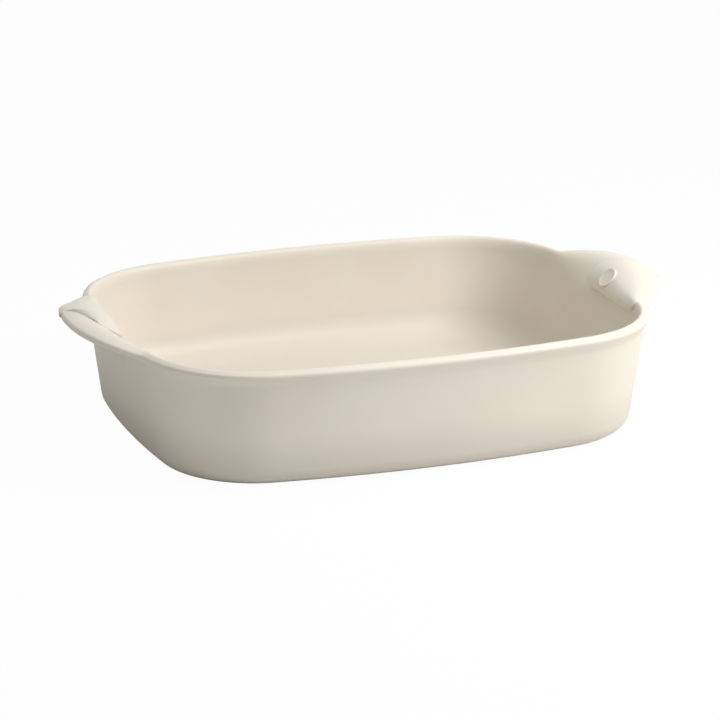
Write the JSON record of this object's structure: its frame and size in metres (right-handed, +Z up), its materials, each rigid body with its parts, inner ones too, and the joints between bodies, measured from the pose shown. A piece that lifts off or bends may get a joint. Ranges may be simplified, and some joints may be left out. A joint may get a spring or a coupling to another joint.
{
  "type": "baking dish",
  "caption": "Rectangular glazed stoneware baking dish with drafted walls, a rolled rim and a flared handle at each end, folded in over the rim.",
  "frame": {"origin": "middle of the dish on the surface that it stands on", "axes": "+X along the dish towards the handle that carries the seal, +Y towards the open half of that handle, +Z up"},
  "size_m": [0.3588, 0.254, 0.0806],
  "materials": {
    "glazed_stoneware": "gloss"
  },
  "bodies": {
    "root": {"basin": "glazed_stoneware", "left_ear": "glazed_stoneware", "left_roll": "glazed_stoneware", "right_ear": "glazed_stoneware", "right_roll": "glazed_stoneware", "seal": "glazed_stoneware"}
  },
  "joints": []
}
